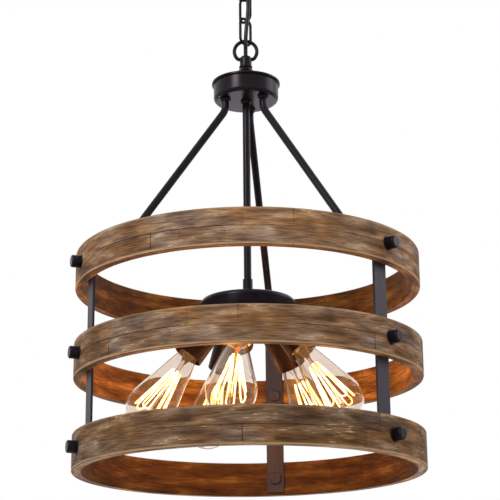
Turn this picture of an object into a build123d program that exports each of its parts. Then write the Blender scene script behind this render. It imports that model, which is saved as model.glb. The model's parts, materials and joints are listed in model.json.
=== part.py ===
from build123d import *
from math import acos, cos, radians, sin, sqrt, tan
import os

# Ceiling light: three bent-wood rings on flat steel bars, hung by three rods from a hub on a short chain,
# with a cluster of clear bulbs inside. Millimetres, +Z up.
# The origin is on the ceiling under the crossbar's fixing holes, and the light hangs down the Z axis.
# Azimuth 0 faces the front (-Y) and grows towards +X.

# Wooden rings
ring_names = ("top", "middle", "bottom")
ring_outer_diameter = 450
ring_wall = 13
ring_height = 46
ring_pitch = 118
ring_edge_round = 1.5

# Flat upright bars inside the rings
bar_azimuths = (50, 170, 290)
bar_width = 24
bar_thickness = 3
bar_end_inset = 4.5
bar_corner_radius = 1.5

# Fasteners through the rings
bolt_diameter = 6
bolt_head_diameter = 17
bolt_head_height = 3.2
bolt_head_round = 1.9
cap_nut_diameter = 16
cap_nut_length = 11.5
cap_nut_round = 2.2
cap_nut_thread_depth = 8
thread_relief = 1
cap_flange_diameter = 19
cap_flange_thickness = 1.2

# Bent rods from the hub to the top ring
arm_diameter = 10
arm_hub_radius = 30
arm_knee_drop = 17
arm_foot_inset = 15.5
arm_knee_bend = 22
arm_foot_bend = 16
arm_hub_end = 12
arm_nut_width = 15
arm_nut_thickness = 5

# Hub
hub_to_ring_drop = 253
hub_diameter = 88
hub_depth = 23.5
hub_floor = 2
hub_wall = 1.5
hub_round = 5
lid_diameter = 93
lid_rim = 3
lid_crown = 1.5
lid_edge_round = 0.75
ferrule_height = 4
ferrule_wall = 2.6
ferrule_taper = 1.2

# Centre rod, its sleeve and nuts
rod_diameter = 10
rod_bore_diameter = 6.5
rod_nut_width = 14
rod_nut_thickness = 5
sleeve_diameter = 13
sleeve_length = 28

# Round pan and the cone that carries the lampholders
pan_drop = 55
pan_diameter = 124
pan_depth = 23
pan_wall = 1.2
pan_round = 6
cover_thickness = 1.5
cover_flat_diameter = 48
finial_diameter = 17
finial_length = 12
finial_round = 6

# Lampholders
bulb_count = 5
first_bulb_azimuth = -9.7
socket_tilt = 55
socket_seat_radius = 47.5
socket_length = 55
socket_diameter = 39
socket_wall = 1.4
socket_round = 5
nipple_length = 16
nipple_inside_socket = 6
insert_recess = 10

# Bulbs
bulb_diameter = 64
bulb_neck_diameter = 25.6
bulb_centre_from_mouth = 82.5
bulb_cone_angle = 13.6
bulb_glass = 0.9
bulb_tip_diameter = 5
bulb_tip_length = 2.5
bulb_neck_recess = 6
cap_diameter = 26
cap_length = 22
cap_contact_diameter = 10
cap_contact_length = 4
cap_wall = 0.6
cap_edge_round = 1
stem_diameter = 4
stem_flare_length = 15
stem_spider_height = 30
stem_spider_thickness = 1.2
hairpin_count = 6
hairpin_length = 66
hairpin_wire = 0.9
hairpin_head_radius = 6
hairpin_foot_radius = 19
hairpin_head_width = 4.8
hairpin_foot_width = 10
hairpin_foot_round = 4.5

# Loop holders on the hub lid and the ceiling canopy
holder_base_diameter = 54
holder_base_edge = 1.6
holder_bell_height = 21
holder_bell_hollow = 2.2
holder_bead_diameter = 18.4
holder_bead_height = 3
holder_bead_round = 1.2
holder_knob_diameter = 16.4
holder_knob_round = 4.5
holder_pin_height = 34.4
holder_crown = 4.4
holder_thread_depth = 16
wireway_diameter = 6.4
wireway_mouth_round = 0.9

# Rings and chain links of the suspension
loop_diameter = 36
loop_wire = 5
loop_pin_offset = 11.6
pin_shoulder = 0.5
link_length = 42
link_width = 23.6
link_wire = 3.8
link_end_flat = 3
link_upper_turn = -45
link_lower_turn = 45

# Ceiling canopy and crossbar
canopy_diameter = 120
canopy_height = 22
canopy_wall = 1.2
canopy_round = 7
crossbar_length = 104
crossbar_width = 20
crossbar_thickness = 2.5
crossbar_slot_spacing = 79.4
crossbar_slot_width = 4.8
crossbar_slot_length = 15

# Supply cord beside the chain, as offsets (right, back, up) from the hub ring's pins
cord_diameter = 5.5
cord_bend_share = 0.45
cord_route = (
    (0, 0, -13),
    (0, 0, 7.5),
    (0, -8.2, 23.5),
    (1.2, -9.8, 41.5),
    (3.4, -11.4, 60),
    (4.4, -11.6, 78.5),
    (2.4, -8.8, 97.2),
    (0, 0, 113.2),
    (0, 0, 133.7),
)

# Clearances
fit_gap = 0.05
bolt_gap = 0.25
swing_gap = 0.3
crossed_swing_gap = 0.45
pivot_gap = 0.06
insert_gap = 0.3
lamp_gap = 0.5

# Heights worked out downwards from the ceiling
loop_radius = (loop_diameter - loop_wire) / 2
link_reach = link_length - link_wire
ring_to_link = (loop_wire + link_wire) / 2 + crossed_swing_gap
link_to_link = link_wire + swing_gap
canopy_pin_z = -canopy_height - holder_pin_height
canopy_ring_z = canopy_pin_z - loop_pin_offset
link_upper_top_z = canopy_ring_z - loop_radius + ring_to_link
link_upper_z = link_upper_top_z - link_reach / 2
link_lower_top_z = link_upper_top_z - link_reach + link_to_link
link_lower_z = link_lower_top_z - link_reach / 2
hub_ring_z = link_lower_top_z - link_reach + ring_to_link - loop_radius
hub_pin_z = hub_ring_z - loop_pin_offset
hub_top_z = hub_pin_z - holder_pin_height
lid_base_z = hub_top_z - lid_rim - lid_crown
hub_floor_z = lid_base_z - hub_depth
ring_top_z = hub_top_z - hub_to_ring_drop
pan_top_z = ring_top_z - pan_drop
pan_rim_z = pan_top_z - pan_depth

# Radii worked out from the rings inwards
ring_outer_radius = ring_outer_diameter / 2
ring_inner_radius = ring_outer_radius - ring_wall
bar_outer_face = sqrt(ring_inner_radius**2 - (bar_width / 2) ** 2) - fit_gap
bar_inner_face = bar_outer_face - bar_thickness
arm_nut_seat = bar_inner_face - arm_nut_thickness - fit_gap
arm_foot_radius = arm_nut_seat - arm_foot_inset
thread_end = ring_outer_radius + cap_flange_thickness + cap_nut_thread_depth - thread_relief
bolt_z = [ring_top_z - i * ring_pitch - ring_height / 2 for i in range(len(ring_names))]

# The cone's slope sets each lampholder square on it
cover_rim_radius = pan_diameter / 2 - pan_wall - fit_gap
cover_slope = 1 / tan(radians(socket_tilt))
cover_flat_z = pan_rim_z - (cover_rim_radius - cover_flat_diameter / 2) * cover_slope
socket_seat_z = pan_rim_z - (cover_rim_radius - socket_seat_radius) * cover_slope


def turned(*corners):
    """Solid turned about Z. A corner is (radius, height) or (radius, height, rounding)."""
    points = [corner[:2] for corner in corners]
    roundings = [corner[2] if len(corner) > 2 else 0 for corner in corners]
    outline = FilletPolyline(*points, radius=roundings, close=True)
    return revolve(Plane.XZ * make_face(outline), Axis.Z)


def rod_between(low, high, diameter):
    """Upright round bar on the Z axis between two heights."""
    return Pos(0, 0, low) * extrude(Circle(diameter / 2), high - low)


def tube_between(low, high, diameter, bore):
    """Upright tube on the Z axis between two heights."""
    return Pos(0, 0, low) * extrude(Circle(diameter / 2) - Circle(bore / 2), high - low)


def hex_nut(width, thickness, bore):
    """Hexagon nut standing on the XY plane, measured across its flats."""
    return extrude(RegularPolygon(width / 2, 6, major_radius=False) - Circle(bore / 2), thickness)


def swept(path, diameter):
    """Round bar along a path of straight runs and tangent arcs."""
    wire = path.wire()
    section = Plane(origin=wire @ 0, z_dir=wire % 0) * Circle(diameter / 2)
    return sweep(section, path=wire)


def outward(azimuth):
    """Unit vector that points away from the axis at an azimuth."""
    return Vector(sin(radians(azimuth)), -cos(radians(azimuth)), 0)


def radial_place(azimuth, radius, height):
    """Place whose own Z axis points straight out from the lamp's axis."""
    away = outward(azimuth)
    return Plane(
        origin=away * radius + Vector(0, 0, height),
        x_dir=away.cross(Vector(0, 0, 1)),
        z_dir=away,
    ).location


def socket_place(azimuth):
    """Place at a lampholder's mouth, with its own Z axis along the bulb."""
    away = outward(azimuth)
    aim = away * cos(radians(socket_tilt)) - Vector(0, 0, sin(radians(socket_tilt)))
    seat = away * socket_seat_radius + Vector(0, 0, socket_seat_z)
    return Plane(
        origin=seat + aim * (socket_length + fit_gap),
        x_dir=away.cross(Vector(0, 0, 1)),
        z_dir=aim,
    ).location


def save(name, *solids):
    """Write one named piece, or a group of like pieces, as a STEP file."""
    shape = solids[0] if len(solids) == 1 else Compound(children=list(solids))
    export_step(shape, f"parts/{name}.step")


def wooden_ring(index):
    """Bent-wood hoop with eased edges and one hole at each bar."""
    top = ring_top_z - index * ring_pitch
    base = top - ring_height
    hoop = turned(
        (ring_inner_radius, base, ring_edge_round),
        (ring_outer_radius, base, ring_edge_round),
        (ring_outer_radius, top, ring_edge_round),
        (ring_inner_radius, top, ring_edge_round),
    )
    fastener = arm_diameter if index == 0 else bolt_diameter
    for azimuth in bar_azimuths:
        drill = rod_between(-ring_wall, ring_wall, fastener + 2 * bolt_gap)
        hoop -= radial_place(azimuth, ring_outer_radius - ring_wall / 2, bolt_z[index]) * drill
    return hoop


def upright_bar(azimuth):
    """Flat bar with eased corners that ties the three rings together, drilled for one arm and two bolts."""
    high = ring_top_z - bar_end_inset
    low = ring_top_z - (len(ring_names) - 1) * ring_pitch - ring_height + bar_end_inset
    middle = (high + low) / 2
    blank = RectangleRounded(bar_width, high - low, bar_corner_radius)
    for index, height in enumerate(bolt_z):
        fastener = arm_diameter if index == 0 else bolt_diameter
        blank -= Pos(0, middle - height) * Circle(fastener / 2 + bolt_gap)
    return radial_place(azimuth, bar_inner_face, middle) * extrude(blank, bar_thickness)


def ring_bolt(azimuth, height):
    """Low domed bolt from inside the bar out through the ring."""
    shank = thread_end - bar_inner_face
    bolt = turned(
        (0, -bolt_head_height),
        (bolt_head_diameter / 2, -bolt_head_height, bolt_head_round),
        (bolt_head_diameter / 2, -fit_gap),
        (bolt_diameter / 2, -fit_gap),
        (bolt_diameter / 2, shank),
        (0, shank),
    )
    return radial_place(azimuth, bar_inner_face, height) * bolt


def cap_nut(azimuth, height, thread):
    """Round cap nut with a thin flange against the ring's outer face."""
    end = cap_flange_thickness + cap_nut_length
    nut = turned(
        (0, 0),
        (cap_flange_diameter / 2, 0),
        (cap_flange_diameter / 2, cap_flange_thickness, cap_flange_thickness / 2),
        (cap_nut_diameter / 2, cap_flange_thickness),
        (cap_nut_diameter / 2, end, cap_nut_round),
        (0, end),
    )
    nut -= rod_between(0, cap_flange_thickness + cap_nut_thread_depth, thread + 2 * fit_gap)
    return radial_place(azimuth, ring_outer_radius + fit_gap, height) * nut


def arm_rod(azimuth):
    """Rod that drops from the hub, slants out and turns level through the bar and the top ring."""
    away = outward(azimuth)
    foot_z = bolt_z[0]
    stations = (
        (arm_hub_radius, hub_floor_z + arm_hub_end),
        (arm_hub_radius, hub_floor_z - arm_knee_drop),
        (arm_foot_radius, foot_z),
        (thread_end, foot_z),
    )
    points = [away * r + Vector(0, 0, z) for r, z in stations]
    return swept(FilletPolyline(*points, radius=(arm_knee_bend, arm_foot_bend)), arm_diameter)


def ferrule(diameter):
    """Tapered collar under the hub floor around a rod."""
    wide = diameter / 2 + ferrule_wall
    bore = diameter / 2 + fit_gap
    return turned(
        (bore, hub_floor_z - ferrule_height),
        (wide - ferrule_taper, hub_floor_z - ferrule_height, ferrule_taper / 2),
        (wide, hub_floor_z - ferrule_taper),
        (wide, hub_floor_z),
        (bore, hub_floor_z),
    )


def hub_cup():
    """Shallow cup with a rounded lower edge, pierced for the rods."""
    radius = hub_diameter / 2
    inner = radius - hub_wall
    floor = hub_floor_z + hub_floor
    cup = turned(
        (0, hub_floor_z),
        (radius, hub_floor_z, hub_round),
        (radius, lid_base_z),
        (inner, lid_base_z),
        (inner, floor, hub_round - hub_wall),
        (0, floor),
    )
    cup -= rod_between(hub_floor_z, floor, rod_diameter + 2 * bolt_gap)
    for azimuth in bar_azimuths:
        drill = rod_between(hub_floor_z, floor, arm_diameter + 2 * bolt_gap)
        cup -= Pos(outward(azimuth) * arm_hub_radius) * drill
    return cup


def hub_lid():
    """Crowned lid with a thin overhanging rim."""
    seat = holder_base_diameter / 2
    rim = lid_base_z + lid_rim
    return turned(
        (rod_diameter / 2 + bolt_gap, lid_base_z),
        (lid_diameter / 2, lid_base_z, lid_edge_round),
        (lid_diameter / 2, rim, lid_edge_round),
        (lid_diameter / 2 - lid_rim, rim),
        (seat, hub_top_z),
        (rod_diameter / 2 + bolt_gap, hub_top_z),
    )


def loop_holder():
    """Flared bell with a bead and a domed knob, bored for the rod, the cord and the ring's pins."""
    base = holder_base_diameter / 2
    bead = holder_bead_diameter / 2
    knob = holder_knob_diameter / 2
    neck_z = holder_bell_height
    bead_z = neck_z + holder_bead_height
    top = holder_pin_height + holder_crown
    flare = (
        Line((0, 0), (base, 0)),
        Line((base, 0), (base, holder_base_edge)),
        SagittaArc((base, holder_base_edge), (knob, neck_z), holder_bell_hollow),
        Line((knob, neck_z), (0, neck_z)),
        Line((0, neck_z), (0, 0)),
    )
    bell = revolve(Plane.XZ * make_face(flare), Axis.Z)
    bead_ring = turned(
        (0, neck_z),
        (bead, neck_z, holder_bead_round),
        (bead, bead_z, holder_bead_round),
        (0, bead_z),
    )
    mouth = wireway_diameter / 2
    dome = turned(
        (mouth, bead_z),
        (knob, bead_z),
        (knob, top, holder_knob_round),
        (mouth, top, wireway_mouth_round),
    )
    body = bell + bead_ring - rod_between(0, holder_thread_depth, rod_diameter + 2 * fit_gap)
    body -= rod_between(0, top, wireway_diameter)
    cross_bore = Rot(0, 90, 0) * rod_between(-2 * knob, 2 * knob, loop_wire + 2 * pivot_gap)
    return body + (dome - Pos(0, 0, holder_pin_height) * cross_bore)


def loop_ring():
    """Round wire ring about the origin, open at its foot, whose two ends turn inwards as pivot pins."""
    pin_tip = wireway_diameter / 2 + pin_shoulder
    pin_end = holder_knob_diameter / 2 + pin_shoulder
    drop = loop_pin_offset
    # A corner arc touches the pin's line at its end and the ring's circle from inside
    corner = (loop_radius**2 - pin_end**2 - drop**2) / (2 * (loop_radius - drop))
    corner_centre = Vector(pin_end, corner - drop)
    touch = corner_centre.normalized() * loop_radius
    bulge = corner_centre + ((touch - corner_centre).normalized() + Vector(0, -1)).normalized() * corner
    path = (
        Line((-pin_tip, -drop), (-pin_end, -drop))
        + ThreePointArc((-pin_end, -drop), (-bulge.X, bulge.Y), (-touch.X, touch.Y))
        + ThreePointArc((-touch.X, touch.Y), (0, loop_radius), touch)
        + ThreePointArc(touch, bulge, (pin_end, -drop))
        + Line((pin_end, -drop), (pin_tip, -drop))
    )
    return swept(Plane.XZ * path, loop_wire)


def chain_link(turn, height):
    """Oval link of round wire, standing upright and turned about Z."""
    width = link_width - link_wire
    oval = RectangleRounded(width, link_reach, (width - link_end_flat) / 2).face().outer_wire()
    return Pos(0, 0, height) * Rot(0, 0, turn) * swept(Plane.XZ * oval, link_wire)


def supply_cord():
    """Cord from the hub's loop holder up beside the chain into the canopy's loop holder."""
    points = [Vector(0, 0, hub_pin_z) + Vector(*point) for point in cord_route]
    runs = [b - a for a, b in zip(points, points[1:])]
    radii = []
    for before, after in zip(runs, runs[1:]):
        half_turn = radians(before.get_angle(after) / 2)
        radii.append(cord_bend_share * min(before.length, after.length) / tan(half_turn))
    path = FilletPolyline(*points, radius=radii)
    cord = swept(path, cord_diameter)
    section = Circle(cord_diameter / 2).area
    print("cord bend radii", [round(radius, 1) for radius in radii])
    print("cord length", round(path.length, 1), "volume ratio", round(cord.volume / section / path.length, 4))
    return cord


def cluster_pan():
    """Round pan, open below, with a rounded shoulder."""
    radius = pan_diameter / 2
    inner = radius - pan_wall
    bore = rod_diameter / 2 + bolt_gap
    return turned(
        (bore, pan_top_z),
        (radius, pan_top_z, pan_round),
        (radius, pan_rim_z),
        (inner, pan_rim_z),
        (inner, pan_top_z - pan_wall, pan_round - pan_wall),
        (bore, pan_top_z - pan_wall),
    )


def cluster_cover():
    """Thin cone that closes the pan and seats each lampholder square."""
    flat = cover_flat_diameter / 2
    bore = rod_diameter / 2 + bolt_gap
    cone = turned(
        (bore, cover_flat_z),
        (flat, cover_flat_z),
        (cover_rim_radius, pan_rim_z),
        (cover_rim_radius, pan_rim_z + cover_thickness),
        (flat, cover_flat_z + cover_thickness),
        (bore, cover_flat_z + cover_thickness),
    )
    for azimuth in bulb_azimuths:
        drill = rod_between(-socket_length - nipple_length, -socket_length + nipple_length, nipple_hole)
        cone -= socket_place(azimuth) * drill
    return cone


def cluster_finial():
    """Rounded cap nut under the cone, on the end of the centre rod."""
    end = cover_flat_z - finial_length
    return turned(
        (0, cover_flat_z - fit_gap),
        (finial_diameter / 2, cover_flat_z - fit_gap),
        (finial_diameter / 2, end, finial_round),
        (0, end),
    ) - rod_between(rod_end_z - fit_gap, cover_flat_z, rod_diameter + 2 * fit_gap)


def socket_cup():
    """Round lampholder cup, open at its mouth at height 0, with a rounded back."""
    radius = socket_diameter / 2
    inner = radius - socket_wall
    cup = turned(
        (nipple_hole / 2, -socket_length),
        (radius, -socket_length, socket_round),
        (radius, 0, socket_wall / 3),
        (inner, 0, socket_wall / 3),
        (inner, -socket_length + socket_wall, socket_round - socket_wall),
        (nipple_hole / 2, -socket_length + socket_wall),
    )
    return cup


def socket_nipple():
    """Short threaded tube that joins a lampholder to the cone."""
    front = -socket_length + nipple_inside_socket
    return tube_between(front - nipple_length, front, rod_diameter, rod_bore_diameter)


def socket_insert():
    """Porcelain insert with a well for the bulb's cap."""
    radius = socket_diameter / 2 - socket_wall - insert_gap
    back = -socket_length + nipple_inside_socket + insert_gap
    well = cap_diameter / 2 + lamp_gap
    floor = -bulb_neck_recess - cap_length - cap_contact_length - insert_gap
    return turned(
        (0, back),
        (radius, back),
        (radius, -insert_recess, insert_gap),
        (well, -insert_recess, insert_gap),
        (well, floor),
        (0, floor),
    )


def bulb_envelope(shrink):
    """Pear-shaped solid: straight neck, cone, ball end and a small tip, drawn in by an even thickness."""
    neck = bulb_neck_diameter / 2 - shrink
    ball = bulb_diameter / 2 - shrink
    tip = bulb_tip_diameter / 2 - shrink
    slope = radians(bulb_cone_angle)
    touch = Vector(ball * cos(slope), bulb_centre_from_mouth - ball * sin(slope))
    neck_end = touch.Y - (touch.X - neck) / tan(slope)
    tip_z = bulb_centre_from_mouth + sqrt(ball**2 - tip**2)
    end = bulb_centre_from_mouth + bulb_diameter / 2 + bulb_tip_length - shrink
    half_way = (acos(tip / ball) - slope) / 2
    side = Vector(ball * cos(half_way), bulb_centre_from_mouth + ball * sin(half_way))
    outline = (
        Line((0, -bulb_neck_recess), (neck, -bulb_neck_recess)),
        Line((neck, -bulb_neck_recess), (neck, neck_end)),
        Line((neck, neck_end), touch),
        ThreePointArc(touch, side, (tip, tip_z)),
        Line((tip, tip_z), (0, end)),
        Line((0, end), (0, -bulb_neck_recess)),
    )
    return revolve(Plane.XZ * make_face(outline), Axis.Z)


def bulb_cap():
    """Thin screw cap, open towards the glass, with a tapered contact end."""
    front = -bulb_neck_recess
    shoulder = front - cap_length
    contact = shoulder - cap_contact_length
    inner = cap_diameter / 2 - cap_wall
    return turned(
        (inner - cap_edge_round, front),
        (cap_diameter / 2, front, cap_edge_round),
        (cap_diameter / 2, shoulder),
        (cap_contact_diameter / 2, contact),
        (0, contact),
        (0, contact + cap_wall),
        (cap_contact_diameter / 2 - cap_wall, contact + cap_wall),
        (inner, shoulder),
        (inner, front - cap_wall - cap_edge_round),
        (inner - cap_edge_round, front - cap_wall),
    )


def bulb_filament():
    """Glass stem flared to the bulb's neck, with hairpin strands on its spider and hooks at their feet."""
    base = -bulb_neck_recess
    flare = bulb_neck_diameter / 2 - bulb_glass - fit_gap
    head = base + stem_spider_height
    foot = head + hairpin_length
    spider = hairpin_head_radius + hairpin_wire
    cage = turned(
        (0, base),
        (flare, base),
        (stem_diameter / 2, base + stem_flare_length),
        (stem_diameter / 2, head),
        (spider, head),
        (spider, head + stem_spider_thickness),
        (stem_diameter / 2, head + stem_spider_thickness),
        (stem_diameter / 2, foot),
        (0, foot),
    )
    head_side = hairpin_head_width / 2
    foot_side = hairpin_foot_width / 2
    corners = (
        (hairpin_head_radius, -head_side, head),
        (hairpin_foot_radius, -foot_side, foot),
        (hairpin_foot_radius, foot_side, foot),
        (hairpin_head_radius, head_side, head),
    )
    hairpin = swept(FilletPolyline(*corners, radius=hairpin_foot_round), hairpin_wire)
    hook = swept(Wire([Line((0, 0, foot - hairpin_wire), (hairpin_foot_radius, 0, foot))]), hairpin_wire)
    for index in range(hairpin_count):
        cage += Rot(0, 0, 360 * index / hairpin_count) * hairpin
        cage += Rot(0, 0, 360 * index / hairpin_count) * hook
    return cage


def ceiling_canopy():
    """Shallow dish against the ceiling that hides the crossbar and the wiring."""
    radius = canopy_diameter / 2
    inner = radius - canopy_wall
    bore = rod_diameter / 2 + bolt_gap
    return turned(
        (bore, -canopy_height),
        (radius, -canopy_height, canopy_round),
        (radius, 0),
        (inner, 0),
        (inner, -canopy_height + canopy_wall, canopy_round - canopy_wall),
        (bore, -canopy_height + canopy_wall),
    )


def ceiling_crossbar():
    """Flat steel strip with a threaded centre hole and two slots for the ceiling box's screws."""
    strip = RectangleRounded(crossbar_length, crossbar_width, crossbar_width / 4)
    strip -= Circle(rod_diameter / 2 + fit_gap)
    for side in (-1, 1):
        slot = SlotOverall(crossbar_slot_length, crossbar_slot_width)
        strip -= Pos(side * crossbar_slot_spacing / 2, 0) * slot
    return Pos(0, 0, -crossbar_thickness) * extrude(strip, crossbar_thickness)


bulb_azimuths = [first_bulb_azimuth + 360 * i / bulb_count for i in range(bulb_count)]
nipple_hole = rod_diameter + 2 * bolt_gap
rod_end_z = cover_flat_z - finial_length / 2

os.makedirs("parts", exist_ok=True)

# Ceiling mount
nipple_low = -canopy_height - holder_thread_depth + thread_relief
save("ceiling_canopy", ceiling_canopy())
save("ceiling_crossbar", ceiling_crossbar())
save("canopy_nipple", tube_between(nipple_low, -fit_gap, rod_diameter, rod_bore_diameter))
canopy_nut = hex_nut(rod_nut_width, rod_nut_thickness, rod_diameter + 2 * fit_gap)
save("canopy_nut", Pos(0, 0, -crossbar_thickness - rod_nut_thickness) * canopy_nut)
save("canopy_loop_holder", Pos(0, 0, -canopy_height) * Rot(180, 0, 0) * loop_holder())

# Chain and cord
save("canopy_ring", Pos(0, 0, canopy_ring_z) * Rot(180, 0, 0) * loop_ring())
save("chain_link_upper", chain_link(link_upper_turn, link_upper_z))
save("chain_link_lower", chain_link(link_lower_turn, link_lower_z))
save("hub_ring", Pos(0, 0, hub_ring_z) * loop_ring())
save("supply_cord", supply_cord())

# Hub and rods
save("hub_loop_holder", Pos(0, 0, hub_top_z) * loop_holder())
save("hub_lid", hub_lid())
save("hub_cup", hub_cup())
rod_top_z = hub_top_z + holder_thread_depth - thread_relief
save("centre_rod", tube_between(rod_end_z, rod_top_z, rod_diameter, rod_bore_diameter))
sleeve_bore = rod_diameter + 2 * fit_gap
save("rod_sleeve", tube_between(pan_top_z, pan_top_z + sleeve_length, sleeve_diameter, sleeve_bore))
rod_nut = hex_nut(rod_nut_width, rod_nut_thickness, rod_diameter + 2 * fit_gap)
rod_nut_seats = (
    hub_floor_z + hub_floor,
    lid_base_z - rod_nut_thickness,
    pan_top_z - pan_wall - rod_nut_thickness,
    cover_flat_z + cover_thickness,
)
save("rod_nuts", *[Pos(0, 0, seat) * rod_nut for seat in rod_nut_seats])
arm_nut = hex_nut(arm_nut_width, arm_nut_thickness, arm_diameter + 2 * fit_gap)
arm_tops = [Pos(outward(azimuth) * arm_hub_radius) for azimuth in bar_azimuths]
save("hub_nuts", *[place * Pos(0, 0, hub_floor_z + hub_floor) * arm_nut for place in arm_tops])
save("hub_ferrules", ferrule(rod_diameter), *[place * ferrule(arm_diameter) for place in arm_tops])
for number, azimuth in enumerate(bar_azimuths, 1):
    save(f"arm_{number}", arm_rod(azimuth))

# Rings, bars and their fasteners
for index, name in enumerate(ring_names):
    save(f"ring_{name}", wooden_ring(index))
for number, azimuth in enumerate(bar_azimuths, 1):
    save(f"bar_{number}", upright_bar(azimuth))
bolted = [(azimuth, height) for azimuth in bar_azimuths for height in bolt_z[1:]]
save("ring_bolts", *[ring_bolt(azimuth, height) for azimuth, height in bolted])
save("arm_nuts", *[radial_place(azimuth, arm_nut_seat, bolt_z[0]) * arm_nut for azimuth in bar_azimuths])
arm_caps = [cap_nut(azimuth, bolt_z[0], arm_diameter) for azimuth in bar_azimuths]
bolt_caps = [cap_nut(azimuth, height, bolt_diameter) for azimuth, height in bolted]
save("cap_nuts", *arm_caps, *bolt_caps)

# Lamp cluster
save("cluster_pan", cluster_pan())
save("cluster_cover", cluster_cover())
save("cluster_finial", cluster_finial())
save("socket_nipples", *[socket_place(azimuth) * socket_nipple() for azimuth in bulb_azimuths])
glass = bulb_envelope(0) - bulb_envelope(bulb_glass)
for number, azimuth in enumerate(bulb_azimuths, 1):
    place = socket_place(azimuth)
    save(f"socket_cup_{number}", place * socket_cup())
    save(f"socket_insert_{number}", place * socket_insert())
    save(f"bulb_glass_{number}", place * glass)
    save(f"bulb_cap_{number}", place * bulb_cap())
    save(f"bulb_filament_{number}", place * bulb_filament())
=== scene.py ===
import json
import math

import bmesh
import bpy
import numpy as np
from mathutils import Matrix, Vector

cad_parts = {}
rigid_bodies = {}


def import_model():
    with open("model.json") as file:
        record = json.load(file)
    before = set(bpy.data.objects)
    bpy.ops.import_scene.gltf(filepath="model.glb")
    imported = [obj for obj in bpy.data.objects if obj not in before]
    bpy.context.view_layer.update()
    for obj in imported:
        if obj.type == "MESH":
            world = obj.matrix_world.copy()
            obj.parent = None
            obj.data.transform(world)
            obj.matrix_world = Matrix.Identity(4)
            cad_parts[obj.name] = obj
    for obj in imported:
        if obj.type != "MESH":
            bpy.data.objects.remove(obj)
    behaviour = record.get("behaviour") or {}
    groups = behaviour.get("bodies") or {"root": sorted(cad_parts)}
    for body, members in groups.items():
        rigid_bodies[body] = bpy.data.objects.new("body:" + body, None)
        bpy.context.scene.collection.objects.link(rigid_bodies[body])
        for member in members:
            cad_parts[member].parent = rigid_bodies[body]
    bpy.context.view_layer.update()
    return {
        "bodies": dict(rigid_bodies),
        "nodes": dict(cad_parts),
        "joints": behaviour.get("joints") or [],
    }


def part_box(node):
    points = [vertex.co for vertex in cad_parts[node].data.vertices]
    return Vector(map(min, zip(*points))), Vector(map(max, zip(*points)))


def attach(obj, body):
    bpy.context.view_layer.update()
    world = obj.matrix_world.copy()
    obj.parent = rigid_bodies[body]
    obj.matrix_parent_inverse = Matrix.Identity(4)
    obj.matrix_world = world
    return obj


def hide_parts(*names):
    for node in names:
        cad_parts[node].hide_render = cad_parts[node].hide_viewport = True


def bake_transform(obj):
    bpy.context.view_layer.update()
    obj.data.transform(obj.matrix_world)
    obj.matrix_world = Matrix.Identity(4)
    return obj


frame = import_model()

# Ceiling light: three bent-wood rings on flat steel bars, hung by three rods and a short chain, with five
# clear bulbs inside. Metres, in the CAD frame: the origin is on the ceiling and the light hangs down the
# Z axis. Azimuths are degrees: 0 faces the front (-Y), and they grow towards +X.

MM = 0.001
TURN = 2 * math.pi
UP = np.array([0.0, 0.0, 1.0])

# Wooden rings: the azimuth of a butt joint in the upper course, the painted light and shade on the outer
# face, the underside and the inner face, and how much of the bulbs' painted warm glow the underside has.
# The seams are drawn wider than real hairline joints, so that they show
ring_joint_azimuths = {"ring_top": 14.0, "ring_middle": -3.0, "ring_bottom": -47.0}
ring_painted_light_and_shade = {
    "ring_top": (1.04, 0.9, 0.54),
    "ring_middle": (0.88, 1.0, 0.82),
    "ring_bottom": (0.66, 1.4, 0.35),
}
ring_underside_painted_glow = {"ring_top": 0.75, "ring_middle": 0.75, "ring_bottom": 0.1}
ring_wall = 13 * MM
ring_edge_round = 1.5 * MM
# Pale edges: partly wear, partly a painted highlight, weaker on the upper edge
ring_wear_and_highlight_height = 2.4 * MM
upper_edge_wear_and_highlight = 0.4
strips_in_course = 4
strip_courses = 2
blocks_in_strip = 6
seam_half_width = 0.6 * MM

# Grain of the wood: usual length along the bend and width across it. The streaks are drawn coarser than
# real pores, so that they show
stain_size = (56 * MM, 13 * MM)
hue_size = (70 * MM, 24 * MM)
band_size = (90 * MM, 5 * MM)
streak_size = (18 * MM, 1.5 * MM)
stroke_size = (13 * MM, 2.2 * MM)

# Lampholder mouths, measured from the top of the top ring
bulb_count = 5
first_bulb_azimuth = -9.7
lamp_tilt = math.radians(55)
lamp_seat_radius = 47.5 * MM
lamp_seat_drop = 87.28 * MM
lampholder_length = 55.05 * MM

# Bulbs, measured from the lampholder's mouth. The caps' profiles are millimetres (radius, distance)
glass_thickness = 0.9 * MM
bulb_neck_radius = 12.8 * MM
bulb_neck_start = -6 * MM
bulb_ball_radius = 32 * MM
bulb_ball_centre = 82.5 * MM
bulb_cone_angle = math.radians(13.6)
bulb_tip_radius = 2.5 * MM
bulb_end = 117 * MM
cap_radius = 13 * MM
cap_rim_profile = ((0, -6), (12.2, -6), (13, -6.8))
cap_foot_profile = ((11.5, -28), (5, -31.5), (4.4, -32), (0, -32))
cap_thread_start = -9 * MM
cap_thread_end = -27 * MM
cap_thread_pitch = 3.63 * MM
cap_thread_depth = 0.9 * MM

# Filament cage: hairpins that hang from hooks on the stem and spread towards the bulb's end. The strands
# are drawn thicker than real ones, as thick as their glow looks. The first turn is radians, and the stem's
# profile is millimetres (radius, distance)
hairpin_count = 6
hairpin_first_turn = 0.3
hairpin_top = 25 * MM
hairpin_bottom = 90 * MM
hairpin_top_radius = 6 * MM
hairpin_bottom_radius = 19 * MM
hairpin_top_gap = 2.4 * MM
hairpin_bottom_gap = 5 * MM
strand_glow_radius = 0.9 * MM
hook_radius = 0.35 * MM
hook_root_rise = 1 * MM
hook_tip_drop = 0.3 * MM
stem_profile = ((0, -6), (9, -6), (8.2, -2), (4, 9), (2.4, 14), (2, 88), (3.2, 90), (2.4, 92), (0, 92.5))

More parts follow.
